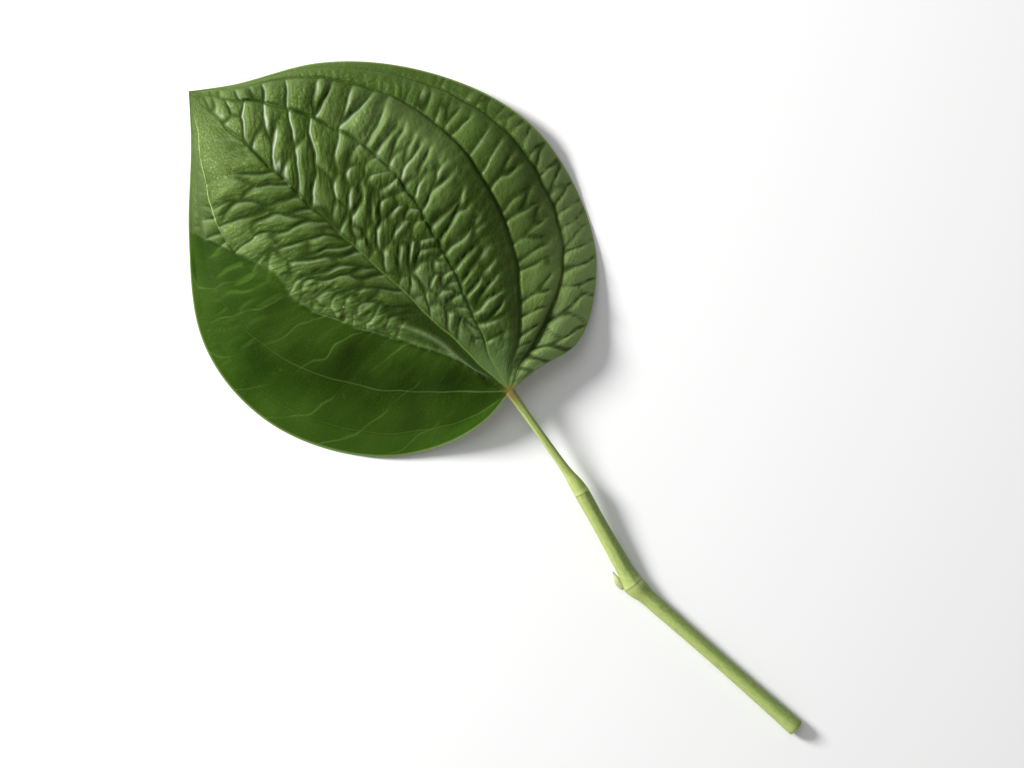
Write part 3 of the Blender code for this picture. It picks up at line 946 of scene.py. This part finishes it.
def under_skin():
    """The pale, matt under face with its raised net of veins."""
    skin = Finish("leaf_under_skin", Roughness=0.6, Specular_IOR_Level=0.35)
    at = SimpleNamespace(place=skin.place(), **skin.kept("vein", "rung", "outwards"))
    clouds = skin.noise(at.place, 70.0, 3.0)
    net = skin.cells(at.place, 420.0)
    fine_net = skin.cells(at.place, 1100.0)
    rungs = at.rung * UNDER_RUNGS + at.outwards * 0.6 + skin.noise(at.place, 120.0, 2.0) * 1.1
    lines = rungs.worked("FRACT").near(0.5, 0.085, 0.02)
    green = skin.blend((146, 168, 92), (180, 196, 124), clouds.between(0.3, 0.7))
    green = skin.layered(green, (
        ((204, 214, 150), 0.3, fine_net.between(0.06, 0.0)),
        ((204, 214, 148), 0.6, net.between(0.06, 0.0)),
        ((212, 218, 154), 0.85, lines),
        ((220, 222, 158), 1.0, at.vein.between(2.2, 0.9)),
    ))
    skin.feed("Base Color", green)
    height = lines + net.between(0.1, 0.0) * 0.5 + fine_net.between(0.1, 0.0) * 0.2 + clouds * 0.2
    skin.bump(height, 0.0003, 0.7)
    return skin.material


def rod(name, sections, sides, radius_at, finish, node):
    """A rod skinned over sections.

    Each is given as centre, heading, radius, length from the start, and the share of the radius at
    which it lies on an end face, or 1 on the side.
    """
    points = []
    shares = {"turn_x": [], "turn_y": [], "length": [], "inner": []}
    for centre, heading, radius, length, inner in sections:
        sideways = heading.normalized().cross(Vector((0, 0, 1))).normalized()
        upwards = sideways.cross(heading.normalized())
        for k in range(sides):
            angle = 2 * math.pi * k / sides
            reach = radius * radius_at(angle, length)
            p = centre + sideways * reach * math.cos(angle) + upwards * reach * math.sin(angle)
            points.append((p.x, p.y, max(p.z, 0.0)))
            for key, value in zip(shares, (math.cos(angle), math.sin(angle), length, inner)):
                shares[key].append(value)
    faces = []
    for start in range(0, (len(sections) - 1) * sides, sides):
        for k in range(sides):
            n = (k + 1) % sides
            faces.append((start + k, start + n, start + sides + n, start + sides + k))
    faces.append(tuple(range(sides))[::-1])
    faces.append(tuple(range(len(points) - sides, len(points))))
    mesh = bpy.data.meshes.new(name)
    mesh.from_pydata((np.array(points) * MM).tolist(), [], faces)
    mesh.materials.append(finish)
    mesh.validate()
    smooth_shade(mesh, 60)
    for key, values in shares.items():
        keep(mesh, key, values)
    return place_object(name, mesh, node)


def stem_axis():
    """The stem's cut end, its lower joint and its upper joint."""
    cut = Vector((*STEM_CUT, AXIS_HEIGHT))
    lower = Vector((*STEM_LOWER_JOINT, AXIS_HEIGHT))
    return cut, lower, Vector((*STEM_UPPER_JOINT, UPPER_JOINT_HEIGHT))


def stem_sections():
    """Rings along the stem from its cut end over the lower joint to the upper one."""
    cut, lower, upper = stem_axis()
    first, second = (lower - cut).length, (upper - lower).length
    total = first + second
    swell = (
        (0, 0.98), (0.8, 1.0), (4, 0.97), (first - 9, 0.95), (first - 4, 1.0), (first - 1.6, 1.2),
        (first, 1.27), (first + 1.4, 1.2), (first + 4, 1.02), (first + 9, 0.95), (total - 7, 0.88),
        (total - 3, 0.91), (total - 1.2, 0.9), (total - 0.2, 0.84),
    )
    lengths = np.concatenate((
        np.linspace(0, first - 6, 90),
        np.linspace(first - 5.6, first + 6, 50),
        np.linspace(first + 6.5, total - 0.2, 60),
    ))
    radii = profile(swell, lengths) * STEM_RADIUS
    bend = 1 / (1 + np.exp(-(lengths - first) / 1.1))
    sections = []
    for length, radius, turn in zip(lengths, radii, bend):
        on_first = cut + (lower - cut) * (length / first)
        on_second = lower + (upper - lower) * ((length - first) / second)
        centre = on_first if length < first else on_second
        heading = (lower - cut).normalized() * (1 - turn) + (upper - lower).normalized() * turn
        sections.append((centre, heading, radius, length, 1.0))
    centre, heading, radius, _, _ = sections[0]
    cut_face = []
    for share in (0.12, 0.35, 0.6, 0.8, 0.93):
        hollowed = Vector((0, 0.25 * (1 - share) - 0.05, 0))
        cut_face.append((centre + hollowed, heading, radius * share, 0.0, share))
    return cut_face + sections


def ridged(angle, length):
    """Eight soft ridges along the stem, slowly turning round it."""
    wave = math.cos(8 * angle + 0.02 * length) + 0.5 * math.cos(5 * angle - 0.03 * length + 1)
    return 1 + 0.026 * wave


def grooved(angle, length):
    """A channel along the upper side of the stalk that starts past its foot, and a few fine ridges."""
    channel = math.exp(-(((angle - math.pi / 2 + math.pi) % (2 * math.pi) - math.pi) / 0.35) ** 2)
    started = min(1.0, max(0.0, (length - 1.0) / 4.0))
    return 1 + started * (0.02 * math.cos(9 * angle) - 0.16 * channel)


def evenly_round(angle, length):
    """The same radius all round."""
    return 1.0


def stalk_sections():
    """Rings along the stalk: its sheath round the stem's end, then its sagging run to the blade."""
    _, lower, foot = stem_axis()
    stretch = Vector((0, 0, JOINT_HEIGHT - STALK_HEAD_DROP)) - foot
    widths = (
        (0, 1.02), (0.03, 1.0), (0.08, 0.92), (0.15, 0.72), (0.25, 0.59), (0.4, 0.55), (0.6, 0.53),
        (0.8, 0.54), (0.92, 0.6), (1.0, 0.66),
    )
    from_stem = (foot - lower).normalized()
    sheath = ((-1.3, 1.0), (-1.1, 1.055), (-0.8, 1.07), (-0.4, 1.05))
    sections = []
    for d, wide in sheath:
        sections.append((foot + from_stem * d, from_stem, STALK_FOOT_RADIUS * wide, d, 1.0))
    for share in np.linspace(0, 1, 110):
        centre = foot + stretch * share + Vector((0, 0, -STALK_SAG * math.sin(math.pi * share)))
        radius = float(profile(widths, share)) * STALK_FOOT_RADIUS
        turned = float(step_up(share, 0.0, 0.1))
        heading = from_stem * (1 - turned) + stretch.normalized() * turned
        sections.append((centre, heading, radius, share * stretch.length, 1.0))
    return sections


def bud_sections():
    """Rings along the bud, from its foot by the stem's lower joint to its point."""
    joint = Vector((*STEM_LOWER_JOINT, STEM_RADIUS))
    way = (Vector((*STEM_UPPER_JOINT, STEM_RADIUS)) - joint).normalized()
    sideways = Vector((-way.y, way.x, 0))
    foot = joint + way * BUD_ABOVE_JOINT + sideways * BUD_BESIDE
    heading = (way - sideways * BUD_LEAN).normalized()
    widths = (
        (0, 0.42), (0.08, 0.7), (0.25, 0.94), (0.42, 1.0), (0.6, 0.82), (0.8, 0.42), (0.95, 0.12),
        (1, 0.02),
    )
    sections = []
    for share in np.linspace(0, 1, 40):
        risen = Vector((0, 0, BUD_TIP_RISE * share * share)) - sideways * BUD_FOOT_IN * (1 - share) ** 4
        centre = foot + heading * BUD_LENGTH * share + risen
        radius = BUD_RADIUS * float(profile(widths, share))
        sections.append((centre, heading, radius, BUD_LENGTH * share, 1.0))
    return sections


def streaked(skin, pale, dark, joint):
    """Stem and stalk: pale on the side that faces the light and darker on the side turned from it,
    painted light and shade, streaked along, brown at the joint.
    """
    at = SimpleNamespace(**skin.kept("turn_x", "turn_y", "length"))
    grain = {"X": at.turn_x * 2.2, "Y": at.turn_y * 2.2, "Z": at.length * 0.12}
    grain = skin.node("ShaderNodeCombineXYZ", None, grain)
    at.streaks = skin.noise(grain, 3.0, 4.0, 0.6)
    fine = skin.noise(grain, 9.0, 2.0)
    skin.feed("Roughness", 0.42 + fine * 0.14)
    skin.bump(at.streaks * 0.7 + fine * 0.4, 0.0002, 0.6)
    # Painted light and shade: pale towards the light, darker on the side turned from it.
    at.green = skin.blend(dark, pale, (at.turn_x * 0.9 + at.turn_y * 0.25).between(0.95, -0.35))
    at.green = skin.layered(at.green, (
        ((206, 222, 140), 0.3, fine.between(0.52, 0.66)),
        ((150, 166, 84), 0.35, at.streaks.between(0.55, 0.75)),
        ((92, 112, 40), 0.4, at.streaks.between(0.48, 0.3)),
        ((104, 122, 52), 0.4, fine.between(0.45, 0.3)),
        ((196, 208, 132), 0.35, at.length.near(joint, 2.2, 0.6)),
        ((118, 112, 54), 0.55, at.length.near(joint, 0.4, 0.08)),
    ))
    return at


def stalk_skin():
    """The stalk, turning brown where it meets the blade."""
    skin = Finish("stalk_skin", Specular_IOR_Level=0.45)
    at = streaked(skin, (184, 198, 116), (124, 144, 66), -1.1)
    brown = at.length.between(*BROWN_AT_BLADE) * 0.8
    skin.feed("Base Color", skin.blend(at.green, (134, 112, 58), brown))
    return skin.material


def stem_skin():
    """The stem, with a cut end that has dried to a darker rim round pale pith."""
    skin = Finish("stem_skin", Specular_IOR_Level=0.45)
    cut, lower, _ = stem_axis()
    at = streaked(skin, (176, 192, 112), (108, 130, 58), (lower - cut).length + 0.2)
    inner = skin.kept("inner")["inner"]
    rim = at.length.near(0.0, 1.1, 0.1) * at.streaks.between(0.25, 0.6)
    pith = skin.blend((196, 204, 146), (120, 136, 70), inner.between(0.55, 0.9))
    green = skin.blend(at.green, (96, 104, 50), rim * 0.75)
    skin.feed("Base Color", skin.blend(green, pith, inner.between(0.99, 0.97)))
    return skin.material


def bud_skin():
    """The bud, pale and finely mottled, with a brown point."""
    skin = Finish("bud_skin", Roughness=0.55)
    length = skin.kept("length")["length"]
    mottle = skin.noise(skin.place(), 900.0, 3.0)
    green = skin.blend((168, 178, 110), (206, 206, 158), mottle)
    point = length.between(0.75 * BUD_LENGTH, BUD_LENGTH)
    skin.feed("Base Color", skin.blend(green, (132, 106, 62), point))
    skin.bump(mottle, 0.00015, 0.5)
    return skin.material


def floor():
    """A plain pale board, just under what lies on it."""
    mesh = bpy.data.meshes.new("floor")
    corners = [(x * FLOOR_HALF, y * FLOOR_HALF, 0) for x, y in ((-1, -1), (1, -1), (1, 1), (-1, 1))]
    mesh.from_pydata(corners, [], [(0, 1, 2, 3)])
    sheet = Finish("white_board", Roughness=0.9, Specular_IOR_Level=0.1)
    sheet.feed("Base Color", (0.9, 0.9, 0.9, 1.0))
    mesh.materials.append(sheet.material)
    made = bpy.data.objects.new("floor", mesh)
    made.location = (0, 0, -FLOOR_BELOW)
    bpy.context.collection.objects.link(made)


def photo_axes():
    """Directions in the frame that are rightwards and upwards in the photograph."""
    along_x, along_y = MIDRIB_IN_PHOTO
    right = Vector((-along_y, along_x, 0)).normalized()
    return right, Vector((-right.y, right.x, 0))


def lights():
    """Two soft lights and an even light from all round."""
    right, up = photo_axes()
    for name, ((aside, above, over), distance, size, power, colour) in LIGHTS.items():
        data = bpy.data.lights.new(name, "AREA")
        data.shape = "DISK"
        data.size = size
        data.energy = power
        data.color = colour
        lamp = bpy.data.objects.new(name, data)
        towards = right * aside + up * above + Vector((0, 0, over))
        lamp.location = towards.normalized() * distance
        lamp.rotation_euler = towards.to_track_quat("Z", "Y").to_euler()
        bpy.context.collection.objects.link(lamp)
    world = bpy.data.worlds.new("studio")
    world.use_nodes = True
    world.node_tree.nodes["Background"].inputs["Color"].default_value = (1, 1, 1, 1)
    world.node_tree.nodes["Background"].inputs["Strength"].default_value = ROOM_LIGHT
    bpy.context.scene.world = world


def camera():
    """Straight above, turned so that the midrib points as it does in the photograph."""
    right, _ = photo_axes()
    data = bpy.data.cameras.new("camera")
    data.sensor_width = SENSOR
    data.lens = LENS
    eye = bpy.data.objects.new("camera", data)
    low, high = (np.array(c) for c in cad_box)
    centre = Vector(((low[0] + high[0]) / 2, (low[1] + high[1]) / 2, VIEW_WIDTH * MM * LENS / SENSOR))
    eye.location = centre + right * VIEW_ASIDE * MM
    eye.rotation_euler = (0, 0, math.atan2(right.y, right.x))
    bpy.context.collection.objects.link(eye)
    bpy.context.scene.camera = eye


def build():
    leaf_blade(upper_skin("leaf_upper_skin", 0.34), under_skin(), upper_skin("leaf_smooth_skin", 0.1))
    rod("petiole_fresh", stalk_sections(), STALK_SIDES, grooved, stalk_skin(), "petiole")
    rod("stem_fresh", stem_sections(), STEM_SIDES, ridged, stem_skin(), "stem")
    rod("bud_fresh", bud_sections(), BUD_SIDES, evenly_round, bud_skin(), "bud")
    floor()
    lights()
    camera()
    bpy.context.scene.view_settings.view_transform = "Standard"


build()
